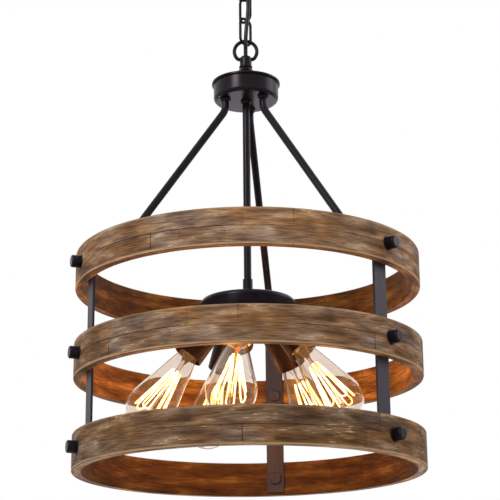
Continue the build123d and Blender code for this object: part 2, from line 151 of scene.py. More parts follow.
# Supply cord: the route's points as millimetres (right, back, up) from the hub ring's pins, and the joints
# that it bends across, from the hub up to the canopy
cord_radius = 2.75 * MM
cord_route = (
    (0, 0, -13),
    (0, 0, 7.5),
    (0, -8.2, 23.5),
    (1.2, -9.8, 41.5),
    (3.4, -11.4, 60),
    (4.4, -11.6, 78.5),
    (2.4, -8.8, 97.2),
    (0, 0, 113.2),
    (0, 0, 133.7),
)
cord_joints = ("light_swing", "hub_ring_swing", "link_lower_swing", "link_upper_swing", "canopy_ring_swing")

# Window lamps: place, width, watts and colour, and the point that they face. The left one gives the
# highlights, the right one the sheen on that side, and the low one behind lights the undersides. A small
# glow sits in each bulb
window_lamps = {
    "window_left": ((-1.15, -1.5, 0.58), 0.6, 21, "#FFFAF6"),
    "window_right": ((1.95, 0.2, 0.45), 1.1, 11, "#F6F2FF"),
    "window_back": ((0.3, 1.8, -0.9), 1.1, 3, "#F4EEFF"),
}
window_target = (0, 0, -0.55)
bulb_glow_watts = 0.34
bulb_glow_distance = 60 * MM

# Camera, measured from the top of the top ring, and floor
camera_distance = 1.9355
camera_drop = 0.5706
camera_pitch = math.radians(16.8)
camera_yaw = math.radians(0.1)
camera_roll = math.radians(-0.56)
camera_lens = 110.0
floor_height = -2.6
floor_reach = 6.0


def linear(code):
    """Linear colour with full cover from an sRGB hex value."""
    srgb = np.array([int(code[i : i + 2], 16) for i in (1, 3, 5)]) / 255
    rgb = np.where(srgb <= 0.04045, srgb / 12.92, ((srgb + 0.055) / 1.055) ** 2.4)
    return (*rgb.tolist(), 1.0)


def add(tree, kind, inputs=None, stops=None, **settings):
    """Add a shader node: settings by name, inputs as values or feeding sockets, and a ramp's stops."""
    node = tree.nodes.new("ShaderNode" + kind)
    for name, value in settings.items():
        setattr(node, name, value)
    for name, value in (inputs or {}).items():
        if isinstance(value, bpy.types.NodeSocket):
            tree.links.new(value, node.inputs[name])
        else:
            node.inputs[name].default_value = value
    if stops:
        ramp = node.color_ramp.elements
        for element, (position, code) in zip(ramp, (stops[0], stops[-1])):
            element.position = position
            element.color = linear(code)
        for position, code in stops[1:-1]:
            ramp.new(position).color = linear(code)
    return node


def blank_material(name):
    """A material with an empty node tree."""
    made = bpy.data.materials.new(name)
    made.use_nodes = True
    made.node_tree.nodes.clear()
    return made, made.node_tree


def grain(tree, along, size, detail, start=0.0):
    """Noise drawn out along the bend: its grains' usual length and width in metres, and where it starts."""
    length, width = size
    place = {"Vector": along, "Location": (start, start, start), "Scale": (1 / length, 1 / width, 1)}
    place = add(tree, "Mapping", place).outputs[0]
    return add(tree, "TexNoise", {"Vector": place, "Scale": 1, "Detail": detail}).outputs["Fac"]


def weathered_bent_wood():
    """Bent hardwood strips, stained grey-brown and rubbed back.

    To the eye: fine short streaks along the bend, brown and grey patches that change from strip to strip,
    blocks a shade lighter or darker than the next, pale rubbed strokes, hairline butt joints, a pale lower
    edge that is partly wear and partly a painted highlight, the bulbs' warm light painted on the inner face
    and some undersides, and painted light and shade that differ from ring to ring and face to face.
    """
    made, tree = blank_material("weathered_bent_wood")
    along = add(tree, "UVMap", uv_map="along_strip").outputs["UV"]
    edge = add(tree, "Attribute", attribute_name="edge_wear_and_highlight").outputs["Fac"]
    # Share of the bulbs' warm light painted on: all of it on the inner face, some on the undersides
    inner = add(tree, "Attribute", attribute_name="painted_bulb_glow").outputs["Fac"]
    # Painted light and shade: a lightness for each face of each ring
    painted_shading = add(tree, "Attribute", attribute_name="painted_lightness").outputs["Fac"]
    stains = grain(tree, along, stain_size, 8)
    hues = grain(tree, along, hue_size, 5, start=7.3)
    bands = grain(tree, along, band_size, 3, start=2.1)
    streaks = grain(tree, along, streak_size, 6, start=4.7)
    strokes = grain(tree, along, stroke_size, 3, start=9.1)

    # Strips: a quarter of the ring long and half of its height wide, the two courses staggered
    strips = add(
        tree,
        "TexBrick",
        {
            "Vector": along,
            "Color1": (0.0, 0.0, 0.0, 1),
            "Color2": (1.0, 1.0, 1.0, 1),
            "Mortar": (0.5, 0.5, 0.5, 1),
            "Scale": 1,
            "Mortar Size": seam_half_width,
            "Mortar Smooth": 0.3,
            "Brick Width": strip_length,
            "Row Height": ring_height / strip_courses,
        },
        offset=0.5,
        offset_frequency=2,
    )
    seams = strips.outputs["Fac"]

    # Shorter blocks within the strips
    blocks = add(
        tree,
        "TexBrick",
        {
            "Vector": along,
            "Color1": (0.0, 0.0, 0.0, 1),
            "Color2": (1.0, 1.0, 1.0, 1),
            "Scale": 1,
            "Mortar Size": 0.0,
            "Brick Width": strip_length / blocks_in_strip,
            "Row Height": ring_height / strip_courses,
        },
        offset=0.37,
        offset_frequency=2,
    ).outputs["Color"]

    # Brown and grey stain, shared out by patches and by strips, and the bulbs' warm light painted on the
    # inner face. Inputs 6 and 7 of a Mix node are the two colours
    brown = [(0.32, "#634223"), (0.45, "#815A36"), (0.55, "#936C47"), (0.68, "#B28C63")]
    grey = [(0.32, "#55443A"), (0.45, "#725E52"), (0.55, "#847164"), (0.68, "#A19082")]
    # Painted warm glow of the bulbs, for the inner face and the undersides
    warm = [(0.32, "#4A2A0C"), (0.45, "#643D12"), (0.55, "#744A19"), (0.68, "#94662A")]
    brown, grey, warm = (
        add(tree, "ValToRGB", {"Fac": stains}, stops=tones).outputs["Color"] for tones in (brown, grey, warm)
    )
    lean = {0: strips.outputs["Color"], 1: 0.22, 2: hues}
    lean = add(tree, "Math", lean, operation="MULTIPLY_ADD").outputs[0]
    grey_share = {"Value": lean, "From Min": 0.46, "From Max": 0.78, "To Max": 0.9}
    grey_share = add(tree, "MapRange", grey_share).outputs[0]
    tone = add(tree, "Mix", {0: grey_share, 6: brown, 7: grey}, data_type="RGBA").outputs[2]
    tone = add(tree, "Mix", {0: inner, 6: tone, 7: warm}, data_type="RGBA").outputs[2]

    # Darker and lighter along the fine streaks and the broader bands, by the block, and by the ring and the
    # face as painted light and shade
    fine = {"Value": streaks, "From Min": 0.32, "From Max": 0.66, "To Min": 0.56, "To Max": 1.36}
    broad = {"Value": bands, "From Min": 0.32, "From Max": 0.68, "To Min": 0.86, "To Max": 1.08}
    by_block = {"Value": blocks, "To Min": 0.78, "To Max": 1.26}
    shade = painted_shading
    for change in (fine, broad, by_block):
        factor = add(tree, "MapRange", change).outputs[0]
        shade = add(tree, "Math", {0: shade, 1: factor}, operation="MULTIPLY").outputs[0]
    tone = {0: 1.0, 6: tone, 7: shade}
    tone = add(tree, "Mix", tone, data_type="RGBA", blend_type="MULTIPLY").outputs[2]

    # Pale rubbed strokes on the outer face where the stain is lightest, and a pale edge, partly wear and
    # partly a painted highlight
    rubbed = add(tree, "MapRange", {"Value": strokes, "From Min": 0.58, "From Max": 0.66}).outputs[0]
    lightest = {"Value": stains, "From Min": 0.5, "From Max": 0.62, "To Max": 0.75}
    lightest = add(tree, "MapRange", lightest).outputs[0]
    outside = add(tree, "Math", {0: 1.0, 1: inner}, operation="SUBTRACT").outputs[0]
    rubbed = add(tree, "Math", {0: rubbed, 1: lightest}, operation="MULTIPLY").outputs[0]
    rubbed = add(tree, "Math", {0: rubbed, 1: outside}, operation="MULTIPLY").outputs[0]
    tone = add(tree, "Mix", {0: rubbed, 6: tone, 7: linear("#CBAE8A")}, data_type="RGBA").outputs[2]
    # Pale edge colour: rubbed wear with a painted highlight along the rounded edge
    wear_and_highlight = {"Value": bands, "From Min": 0.3, "From Max": 0.55, "To Min": 0.45}
    wear_and_highlight = add(tree, "MapRange", wear_and_highlight).outputs[0]
    wear_and_highlight = add(tree, "Math", {0: wear_and_highlight, 1: edge}, operation="MULTIPLY").outputs[0]
    tone = add(tree, "Mix", {0: wear_and_highlight, 6: tone, 7: linear("#DDB585")}, data_type="RGBA").outputs[2]

    # Seams show in some stretches and close up in others
    open_seam = {"Value": hues, "From Min": 0.4, "From Max": 0.58, "To Min": 0.3, "To Max": 1.0}
    open_seam = add(tree, "MapRange", open_seam).outputs[0]
    open_seam = add(tree, "Math", {0: seams, 1: open_seam}, operation="MULTIPLY").outputs[0]
    tone = add(tree, "Mix", {0: open_seam, 6: tone, 7: linear("#2C1D13")}, data_type="RGBA").outputs[2]

    gloss = {"Value": streaks, "From Min": 0.3, "From Max": 0.7, "To Min": 0.75, "To Max": 0.55}
    gloss = add(tree, "MapRange", gloss).outputs[0]
    relief = add(tree, "Math", {0: streaks, 1: seams}, operation="SUBTRACT").outputs[0]
    relief = add(tree, "Bump", {"Height": relief, "Strength": 0.4, "Distance": 0.4 * MM}).outputs["Normal"]
    shader = add(
        tree,
        "BsdfPrincipled",
        {"Base Color": tone, "Roughness": gloss, "Normal": relief, "Specular IOR Level": 0.1},
    )
    add(tree, "OutputMaterial", {"Surface": shader.outputs["BSDF"]})
    return made


def satin_black_enamel():
    """Stoved satin enamel on spun and drawn steel.

    To the eye: near black with a faint violet cast, one broad soft highlight, and a fine ripple in it.
    """
    made, tree = blank_material("satin_black_enamel")
    place = add(tree, "TexCoord").outputs["Object"]
    clouds = add(tree, "TexNoise", {"Vector": place, "Scale": 1 / (30 * MM), "Detail": 4}).outputs["Fac"]
    ripple = add(tree, "TexNoise", {"Vector": place, "Scale": 1 / (1.5 * MM), "Detail": 2}).outputs["Fac"]
    tones = [(0.3, "#0B090C"), (0.7, "#151117")]
    tone = add(tree, "ValToRGB", {"Fac": clouds}, stops=tones).outputs["Color"]
    gloss = {"Value": clouds, "From Min": 0.3, "From Max": 0.7, "To Min": 0.25, "To Max": 0.33}
    gloss = add(tree, "MapRange", gloss).outputs["Result"]
    relief = add(tree, "Bump", {"Height": ripple, "Strength": 0.1, "Distance": 0.1 * MM}).outputs["Normal"]
    shader = add(
        tree,
        "BsdfPrincipled",
        {
            "Base Color": tone,
            "Roughness": gloss,
            "Normal": relief,
            "Specular IOR Level": 0.17,
            "Specular Tint": linear("#F2E6F8"),
        },
    )
    add(tree, "OutputMaterial", {"Surface": shader.outputs["BSDF"]})
    return made


def black_bar_painted_reflection():
    """Rolled flat steel bar under thin black lacquer.

    To the eye: dark slate with a violet cast, duller than the spun parts, with streaks along the bar. The
    slate tone is black steel lifted by a painted reflection of the white room.
    """
    made, tree = blank_material("black_bar_painted_reflection")
    place = add(tree, "TexCoord").outputs["Object"]
    rolled = {"Vector": place, "Scale": (1 / (4 * MM), 1 / (4 * MM), 1 / (90 * MM))}
    rolled = add(tree, "Mapping", rolled).outputs[0]
    streaks = add(tree, "TexNoise", {"Vector": rolled, "Scale": 1, "Detail": 4}).outputs["Fac"]
    # Slate tones: black lifted by a painted reflection of the white room
    tones = [(0.3, "#1D191D"), (0.7, "#2B262B")]
    tone = add(tree, "ValToRGB", {"Fac": streaks}, stops=tones).outputs["Color"]
    gloss = {"Value": streaks, "From Min": 0.3, "From Max": 0.7, "To Min": 0.42, "To Max": 0.55}
    gloss = add(tree, "MapRange", gloss).outputs["Result"]
    relief = {"Height": streaks, "Strength": 0.12, "Distance": 0.2 * MM}
    relief = add(tree, "Bump", relief).outputs["Normal"]
    shader = add(
        tree,
        "BsdfPrincipled",
        {
            "Base Color": tone,
            "Roughness": gloss,
            "Normal": relief,
            "Specular IOR Level": 0.3,
            "Specular Tint": linear("#F2E6F8"),
        },
    )
    add(tree, "OutputMaterial", {"Surface": shader.outputs["BSDF"]})
    return made


def bronzed_socket_shell():
    """Drawn brass shell with a dark bronze wash.

    To the eye: almost black where it faces away from the bulbs, and red-brown where they shine on it.
    """
    made, tree = blank_material("bronzed_socket_shell")
    place = add(tree, "TexCoord").outputs["Object"]
    wash = add(tree, "TexNoise", {"Vector": place, "Scale": 1 / (9 * MM), "Detail": 5}).outputs["Fac"]
    tones = [(0.3, "#0F0502"), (0.7, "#240E04")]
    tone = add(tree, "ValToRGB", {"Fac": wash}, stops=tones).outputs["Color"]
    gloss = {"Value": wash, "From Min": 0.3, "From Max": 0.7, "To Min": 0.35, "To Max": 0.5}
    gloss = add(tree, "MapRange", gloss).outputs["Result"]
    shader = {"Base Color": tone, "Roughness": gloss, "Specular IOR Level": 0.1}
    shader = add(tree, "BsdfPrincipled", shader)
    add(tree, "OutputMaterial", {"Surface": shader.outputs["BSDF"]})
    return made


def glazed_porcelain():
    """Glazed porcelain: warm white with a wet gloss and a faint cloudiness."""
    made, tree = blank_material("glazed_porcelain")
    place = add(tree, "TexCoord").outputs["Object"]
    clouds = add(tree, "TexNoise", {"Vector": place, "Scale": 1 / (6 * MM), "Detail": 3}).outputs["Fac"]
    tones = [(0.3, "#DDD5C6"), (0.7, "#EDE8DD")]
    tone = add(tree, "ValToRGB", {"Fac": clouds}, stops=tones).outputs["Color"]
    shader = add(tree, "BsdfPrincipled", {"Base Color": tone, "Roughness": 0.18, "IOR": 1.55})
    add(tree, "OutputMaterial", {"Surface": shader.outputs["BSDF"]})
    return made


def bright_zinc_plate():
    """Bright zinc plating on steel: pale grey metal with a mottled, slightly bluish sheen."""
    made, tree = blank_material("bright_zinc_plate")
    place = add(tree, "TexCoord").outputs["Object"]
    spangle = add(tree, "TexVoronoi", {"Vector": place, "Scale": 1 / (4 * MM)}).outputs["Distance"]
    tones = [(0.0, "#A9ACB0"), (1.0, "#C9CBCB")]
    tone = add(tree, "ValToRGB", {"Fac": spangle}, stops=tones).outputs["Color"]
    gloss = add(tree, "MapRange", {"Value": spangle, "To Min": 0.28, "To Max": 0.42}).outputs["Result"]
    shader = add(tree, "BsdfPrincipled", {"Base Color": tone, "Roughness": gloss, "Metallic": 1.0})
    add(tree, "OutputMaterial", {"Surface": shader.outputs["BSDF"]})
    return made


def brass_plated_cap():
    """Brass-plated screw shell: golden metal, duller and browner in cloudy spots."""
    made, tree = blank_material("brass_plated_cap")
    place = add(tree, "TexCoord").outputs["Object"]
    rubbed = add(tree, "TexNoise", {"Vector": place, "Scale": 1 / (3 * MM), "Detail": 4}).outputs["Fac"]
    tones = [(0.3, "#A8702A"), (0.7, "#D6A250")]
    tone = add(tree, "ValToRGB", {"Fac": rubbed}, stops=tones).outputs["Color"]
    gloss = add(tree, "MapRange", {"Value": rubbed, "To Min": 0.2, "To Max": 0.4}).outputs["Result"]
    shader = add(tree, "BsdfPrincipled", {"Base Color": tone, "Roughness": gloss, "Metallic": 1.0})
    add(tree, "OutputMaterial", {"Surface": shader.outputs["BSDF"]})
    return made


def clear_lamp_glass():
    """Blown soda-lime glass around a lit filament.

    To the eye: faintly smoky against the light, with a painted amber glow that stands in for the filament's
    light in the wall. The IOR is lower than the usual 1.5, which keeps the white room's reflections in the
    thin wall faint.
    """
    made, tree = blank_material("clear_lamp_glass")
    place = add(tree, "TexCoord").outputs["Object"]
    swirl = add(tree, "TexNoise", {"Vector": place, "Scale": 1 / (25 * MM), "Detail": 2}).outputs["Fac"]
    tones = [(0.3, "#E6DED7"), (0.7, "#EEE7E1")]
    tone = add(tree, "ValToRGB", {"Fac": swirl}, stops=tones).outputs["Color"]
    shader = add(
        tree,
        "BsdfPrincipled",
        {
            "Base Color": tone,
            "Roughness": 0.0,
            "IOR": 1.22,
            "Transmission Weight": 1.0,
            # Painted amber glow: the filament's light in the glass wall
            "Emission Color": linear("#FFC070"),
            "Emission Strength": 0.03,
        },
    )
    add(tree, "OutputMaterial", {"Surface": shader.outputs["BSDF"]})
    return made


def glowing_strand():
    """Carbon strand at white-yellow heat, a little hotter in some stretches than in others."""
    made, tree = blank_material("glowing_strand")
    place = add(tree, "TexCoord").outputs["Object"]
    heat = add(tree, "TexNoise", {"Vector": place, "Scale": 1 / (12 * MM), "Detail": 2}).outputs["Fac"]
    tones = [(0.36, "#FFC062"), (0.6, "#FFF0CC")]
    glow = add(tree, "ValToRGB", {"Fac": heat}, stops=tones).outputs["Color"]
    shader = add(
        tree,
        "BsdfPrincipled",
        {"Base Color": glow, "Roughness": 0.6, "Emission Color": glow, "Emission Strength": 3.2},
    )
    add(tree, "OutputMaterial", {"Surface": shader.outputs["BSDF"]})
    made.cycles.emission_sampling = "NONE"
    return made


def hook_wire_painted_glow():
    """Fine support wire, painted golden all over for the strands' light on it."""
    made, tree = blank_material("hook_wire_painted_glow")
    place = add(tree, "TexCoord").outputs["Object"]
    stain = add(tree, "TexNoise", {"Vector": place, "Scale": 1 / (5 * MM), "Detail": 2}).outputs["Fac"]
    # Golden tones: a painted glow of the strands' light
    tones = [(0.3, "#B07C30"), (0.7, "#D8A850")]
    tone = add(tree, "ValToRGB", {"Fac": stain}, stops=tones).outputs["Color"]
    shader = add(tree, "BsdfPrincipled", {"Base Color": tone, "Roughness": 0.3, "Metallic": 1.0})
    add(tree, "OutputMaterial", {"Surface": shader.outputs["BSDF"]})
    return made


def black_cord_jacket():
    """Round PVC jacket over stranded wire: soft black, a dull sheen and a faint lay of the wires beneath."""
    made, tree = blank_material("black_cord_jacket")
    along = add(tree, "UVMap", uv_map="along_cord").outputs["UV"]
    lay = add(
        tree,
        "TexWave",
        {"Vector": along, "Scale": 1 / (24 * MM), "Distortion": 0.0},
        wave_type="BANDS",
        bands_direction="DIAGONAL",
    ).outputs["Fac"]
    tones = [(0.0, "#0F0E10"), (1.0, "#18161A")]
    tone = add(tree, "ValToRGB", {"Fac": lay}, stops=tones).outputs["Color"]
    relief = add(tree, "Bump", {"Height": lay, "Strength": 0.2, "Distance": 0.2 * MM}).outputs["Normal"]
    shader = add(
        tree,
        "BsdfPrincipled",
        {"Base Color": tone, "Roughness": 0.35, "Normal": relief, "IOR": 1.53, "Specular IOR Level": 0.22},
    )
    add(tree, "OutputMaterial", {"Surface": shader.outputs["BSDF"]})
    return made


def pale_floor_paint():
    """Matt white floor paint, with a faint unevenness."""
    made, tree = blank_material("pale_floor_paint")
    place = add(tree, "TexCoord").outputs["Object"]
    uneven = add(tree, "TexNoise", {"Vector": place, "Scale": 1 / (400 * MM), "Detail": 3}).outputs["Fac"]
    tones = [(0.3, "#EDECEA"), (0.7, "#F3F2F0")]
    tone = add(tree, "ValToRGB", {"Fac": uneven}, stops=tones).outputs["Color"]
    shader = add(tree, "BsdfPrincipled", {"Base Color": tone, "Roughness": 0.8})
    add(tree, "OutputMaterial", {"Surface": shader.outputs["BSDF"]})
    return made


def skin(name, points, material, along=False, uv=None, marks=None, sharp=40):
    """Mesh over a grid of points, closed round each row and, with along, from the last row to the first.

    Each face joins four neighbours of the grid. Points that fall together, as at a pole, become one. uv is
    (map name, grid with one more row and column where the points close), and marks are values per point.
    """
    index = np.arange(points[..., 0].size).reshape(points.shape[:-1])
    index = np.concatenate([index, index[..., :1]], axis=-1)
    if along:
        index = np.concatenate([index, index[..., :1, :]], axis=-2)
    corners = (np.s_[..., :-1, :-1], np.s_[..., :-1, 1:], np.s_[..., 1:, 1:], np.s_[..., 1:, :-1])
    faces = np.stack([index[corner] for corner in corners], axis=-1).reshape(-1, 4)
    mesh = bpy.data.meshes.new(name)
    mesh.from_pydata(points.reshape(-1, 3).tolist(), [], faces.tolist())
    if uv:
        grid = np.moveaxis(uv[1], -1, 0)
        spread = [np.stack([part[corner] for corner in corners], axis=-1) for part in grid]
        spread = np.stack(spread, axis=-1).astype(np.float32)
        mesh.uv_layers.new(name=uv[0]).data.foreach_set("uv", spread.ravel())
    for mark, values in (marks or {}).items():
        values = values.astype(np.float32).ravel()
        mesh.attributes.new(mark, "FLOAT", "POINT").data.foreach_set("value", values)
    shell = bmesh.new()
    shell.from_mesh(mesh)
    bmesh.ops.remove_doubles(shell, verts=shell.verts, dist=0.001 * MM)
    bmesh.ops.recalc_face_normals(shell, faces=shell.faces)
    shell.to_mesh(mesh)
    shell.free()
    mesh.shade_smooth()
    mesh.set_sharp_from_angle(angle=math.radians(sharp))
    mesh.materials.append(material)
    piece = bpy.data.objects.new(name, mesh)
    bpy.context.scene.collection.objects.link(piece)
    return piece


def turned_grid(radius, height, steps):
    """Grid of a turned shape: each profile point (radius, height) goes round the Z axis in equal steps."""
    angle = np.linspace(0, TURN, steps, endpoint=False)
    across = radius[:, None] * np.cos(angle)
    deep = radius[:, None] * np.sin(angle)
    return np.stack([across, deep, np.broadcast_to(height[:, None], across.shape)], axis=-1)


def wire_grid(path, across, radius, steps=10):
    """Grid of round wires: a circle carried square to each path, with both ends drawn in to a point.

    path is (..., stations, 3). across is (..., 3), a direction that no part of its path runs along: the
    circle's first axis is across less its share along the path, and its second is square to both.
    """
    along = np.gradient(path, axis=-2)
    along = along / np.linalg.norm(along, axis=-1, keepdims=True)
    first = across[..., None, :] - along * np.sum(across[..., None, :] * along, axis=-1, keepdims=True)
    first = first / np.linalg.norm(first, axis=-1, keepdims=True)
    second = np.cross(along, first)
    angle = np.linspace(0, TURN, steps, endpoint=False)
    circle = np.cos(angle)[:, None] * first[..., None, :] + np.sin(angle)[:, None] * second[..., None, :]
    rim = path[..., None, :] + radius * circle
    centre = np.broadcast_to(path[..., None, :], rim.shape)
    return np.concatenate([centre[..., :1, :, :], rim, centre[..., -1:, :, :]], axis=-3)


def lamp_place(azimuth):
    """Origin at a lampholder's mouth and its axes as rows: across, down the cone, and along the bulb."""
    turn = math.radians(azimuth)
    away = np.array([math.sin(turn), -math.cos(turn), 0.0])
    aim = away * math.cos(lamp_tilt) - UP * math.sin(lamp_tilt)
    origin = away * lamp_seat_radius + UP * (ring_high[2] - lamp_seat_drop) + aim * lampholder_length
    across = np.cross(away, UP)
    return origin, np.stack([across, np.cross(aim, across), aim])


def wooden_ring(node, material):
    """Hoop with a rounded box section.

    The section starts at the foot of the outer face and goes up it, over the top, down the inner face and
    back, as four straight sides and four quarter arcs. The map runs along the bend in metres of outer arc,
    from the ring's own joint, and up the section in metres.
    """
    low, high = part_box(node)
    outer = (high[0] - low[0]) / 2
    inner = outer - ring_wall
    base, top = low[2], high[2]
    ease = ring_edge_round
    corners = (
        (outer - ease, top - ease),
        (inner + ease, top - ease),
        (inner + ease, base + ease),
        (outer - ease, base + ease),
    )
    arcs = []
    for number, (across, up) in enumerate(corners):
        swing = np.linspace(0, math.pi / 2, 5) + number * math.pi / 2
        arcs.append(np.stack([across + ease * np.cos(swing), up + ease * np.sin(swing)], axis=-1))
    # Points of a straight side, closer together near its ends, where the marks below change
    side = np.array([0.03, 0.06, 0.2, 0.4, 0.6, 0.8, 0.94, 0.97])[:, None]
    sides = [(1 - side) * a[-1] + side * b[0] for a, b in zip(arcs[-1:] + arcs[:-1], arcs)]
    section = np.concatenate([part for pair in zip(sides, arcs) for part in pair])
    radius, height = section.T
    step = np.linalg.norm(np.diff(np.vstack([section, section[:1]]), axis=0), axis=1)
    run = np.concatenate([[0], np.cumsum(step)]) + height[0] - base

    steps = 360
    points = turned_grid(radius, height, steps)
    joint = math.radians(ring_joint_azimuths[node] - 90)
    arc = (np.linspace(0, TURN, steps + 1) - joint) * outer
    uv = np.stack(np.broadcast_arrays(arc[None, :], run[:, None]), axis=-1)

    # Share of the wall from the inner face, 0, to the outer face, 1. The edges' wear and painted highlight
    # fade in near the outer face, the inner face ends just past 0, and the underside lies between the two
    outside = np.clip((radius - inner) / ring_wall, 0, 1)
    low_wear_and_highlight = np.clip(1 - (height - base) / ring_wear_and_highlight_height, 0, 1)
    high_wear_and_highlight = np.clip(1 - (top - height) / ring_wear_and_highlight_height, 0, 1)
    wear_and_highlight = (low_wear_and_highlight + upper_edge_wear_and_highlight * high_wear_and_highlight) * np.clip((outside - 0.85) / 0.1, 0, 1)

    is_inside = outside < 0.08
    is_underside = ~is_inside & (outside < 0.9) & (height < base + 1 * MM)
    faces = [is_inside, is_underside]
    # The bulbs' warm glow painted on the inner face and, ring by ring, on the underside
    painted_bulb_glow = np.select(faces, [1.0, ring_underside_painted_glow[node]], 0.0)
    # Painted light and shade: each ring's outer face, underside and inner face get a lightness of their own
    on_outside, on_underside, on_inside = ring_painted_light_and_shade[node]
    painted_shading = np.select(faces, [on_inside, on_underside], on_outside)
    values = {"edge_wear_and_highlight": wear_and_highlight, "painted_bulb_glow": painted_bulb_glow, "painted_lightness": painted_shading}
    marks = {mark: np.broadcast_to(value[:, None], points.shape[:2]) for mark, value in values.items()}
    piece = skin("wooden_" + node, points, material, along=True, uv=("along_strip", uv), marks=marks)
    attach(piece, "light")
    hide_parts(node)


def glass_profile(inset):
    """Outline of the bulb's glass as (radius, distance along the bulb), drawn in by an even inset.

    A short straight neck runs into a cone that meets the ball on a tangent; the ball ends in a small drawn
    tip. The points are spaced evenly and then averaged with their neighbours, so that the neck flows into
    the cone.
    """
    neck = bulb_neck_radius - inset
    ball = bulb_ball_radius - inset
    tip = bulb_tip_radius - inset
    swing = np.linspace(-bulb_cone_angle, math.acos(tip / ball), 60)
    arc = np.stack([ball * np.cos(swing), bulb_ball_centre + ball * np.sin(swing)], axis=-1)
    neck_end = arc[0, 1] - (arc[0, 0] - neck) / math.tan(bulb_cone_angle)
    corners = np.array([(neck, bulb_neck_start), (neck, neck_end)])
    outline = np.vstack([corners, arc, [(0, bulb_end - inset)]])
    run = np.concatenate([[0], np.cumsum(np.linalg.norm(np.diff(outline, axis=0), axis=1))])
    even = np.linspace(0, run[-1], 110)
    radius, height = np.interp(even, run, outline[:, 0]), np.interp(even, run, outline[:, 1])
    window = np.ones(5) / 5
    radius[2:-4] = np.convolve(radius, window, "valid")[:-2]
    height[2:-4] = np.convolve(height, window, "valid")[:-2]
    return radius, height


def lamp_glass(number, origin, axes, material):
    """Bulb's thin wall: the outline turned round the bulb's axis, out from neck to tip and back inside."""
    outer, inner = glass_profile(0.0), glass_profile(glass_thickness)
    radius = np.concatenate([outer[0], inner[0][::-1]])
    height = np.concatenate([outer[1], inner[1][::-1]])
    wall = turned_grid(radius, height, steps=72) @ axes + origin
    piece = skin(f"lamp_glass_{number}", wall, material, along=True, sharp=80)
    piece.visible_shadow = False
    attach(piece, f"bulb_{number}")
    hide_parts(f"bulb_glass_{number}")


def screw_cap(number, origin, axes, material):
    """Cap turned round the bulb's axis: its radius rises and falls with height less angle, as a thread."""
    rim, foot = np.array(cap_rim_profile) * MM, np.array(cap_foot_profile) * MM
    threaded = np.linspace(cap_thread_start, cap_thread_end, 80)
    smooth = np.full(threaded.size, cap_radius - cap_thread_depth / 2)
    radius = np.concatenate([rim[:, 0], smooth, foot[:, 0]])
    height = np.concatenate([rim[:, 1], threaded, foot[:, 1]])
    steps = 60
    angle = np.linspace(0, TURN, steps, endpoint=False)
    wave = np.zeros((radius.size, steps))
    crests = np.cos(TURN * threaded[:, None] / cap_thread_pitch - angle)
    wave[len(rim) : -len(foot)] = cap_thread_depth / 2 * crests
    outwards = np.stack([np.cos(angle), np.sin(angle)], axis=-1)
    wall = turned_grid(radius, height, steps)
    wall[..., :2] += wave[..., None] * outwards
    piece = skin(f"screw_cap_{number}", wall @ axes + origin, material)
    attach(piece, f"bulb_{number}")
    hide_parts(f"bulb_cap_{number}")


def glass_stem(number, origin, axes, material):
    """Solid glass stem that carries the filament: its profile turned round the bulb's axis."""
    radius, height = (np.array(stem_profile) * MM).T
    stem = turned_grid(radius, height, steps=24) @ axes + origin
    piece = skin(f"glass_stem_{number}", stem, material)
    piece.visible_shadow = False
    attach(piece, f"bulb_{number}")


def filament_cage(number, origin, axes, strand, hook):
    """Glowing hairpins round the stem, and the hooks that hold them.

    A hairpin lies in its own plane: a leg down, half a circle and a leg up, spreading with the distance
    down. The hooks are straight fine wires from the stem out to the head and the foot of each hairpin.
    """
    spread = hairpin_bottom_radius - hairpin_top_radius
    drop = hairpin_bottom - hairpin_top
    reach = math.hypot(drop, spread)
    leg = np.linspace(0, 1, 8)
    gap = hairpin_top_gap + (hairpin_bottom_gap - hairpin_top_gap) * leg
    down = leg * (reach - hairpin_bottom_gap)
    swing = np.linspace(0, math.pi, 11)[1:-1]
    sideways = np.concatenate([gap, hairpin_bottom_gap * np.cos(swing), -gap[::-1]])
    distance = np.concatenate([down, down[-1] + hairpin_bottom_gap * np.sin(swing), down[::-1]])
    turn = TURN * np.arange(hairpin_count) / hairpin_count + hairpin_first_turn
    away = np.stack([np.cos(turn), np.sin(turn), 0 * turn], axis=-1)
    tangent = np.stack([-np.sin(turn), np.cos(turn), 0 * turn], axis=-1)
    slope = (away * spread + UP * drop) / reach
    start = away * hairpin_top_radius + UP * hairpin_top
    path = start[:, None] + tangent[:, None] * sideways[:, None] + slope[:, None] * distance[:, None]
    strands = wire_grid(path, np.cross(tangent, slope), strand_glow_radius)
    piece = skin(f"filament_{number}", strands @ axes + origin, strand)
    piece.visible_shadow = False
    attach(piece, f"bulb_{number}")
    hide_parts(f"bulb_filament_{number}")

    heads = np.stack([0 * away + UP * (hairpin_top - hook_root_rise), start + UP * hook_tip_drop], axis=1)
    feet = np.stack([0 * away + UP * hairpin_bottom, start + slope * reach], axis=1)
    ends = np.concatenate([heads, feet])
    share = np.linspace(0, 1, 4)[:, None]
    spokes = ends[:, :1] * (1 - share) + ends[:, 1:] * share
    hooks = wire_grid(spokes, np.concatenate([tangent, tangent]), hook_radius, steps=8)
    piece = skin(f"filament_hooks_{number}", hooks @ axes + origin, hook)
    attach(piece, f"bulb_{number}")


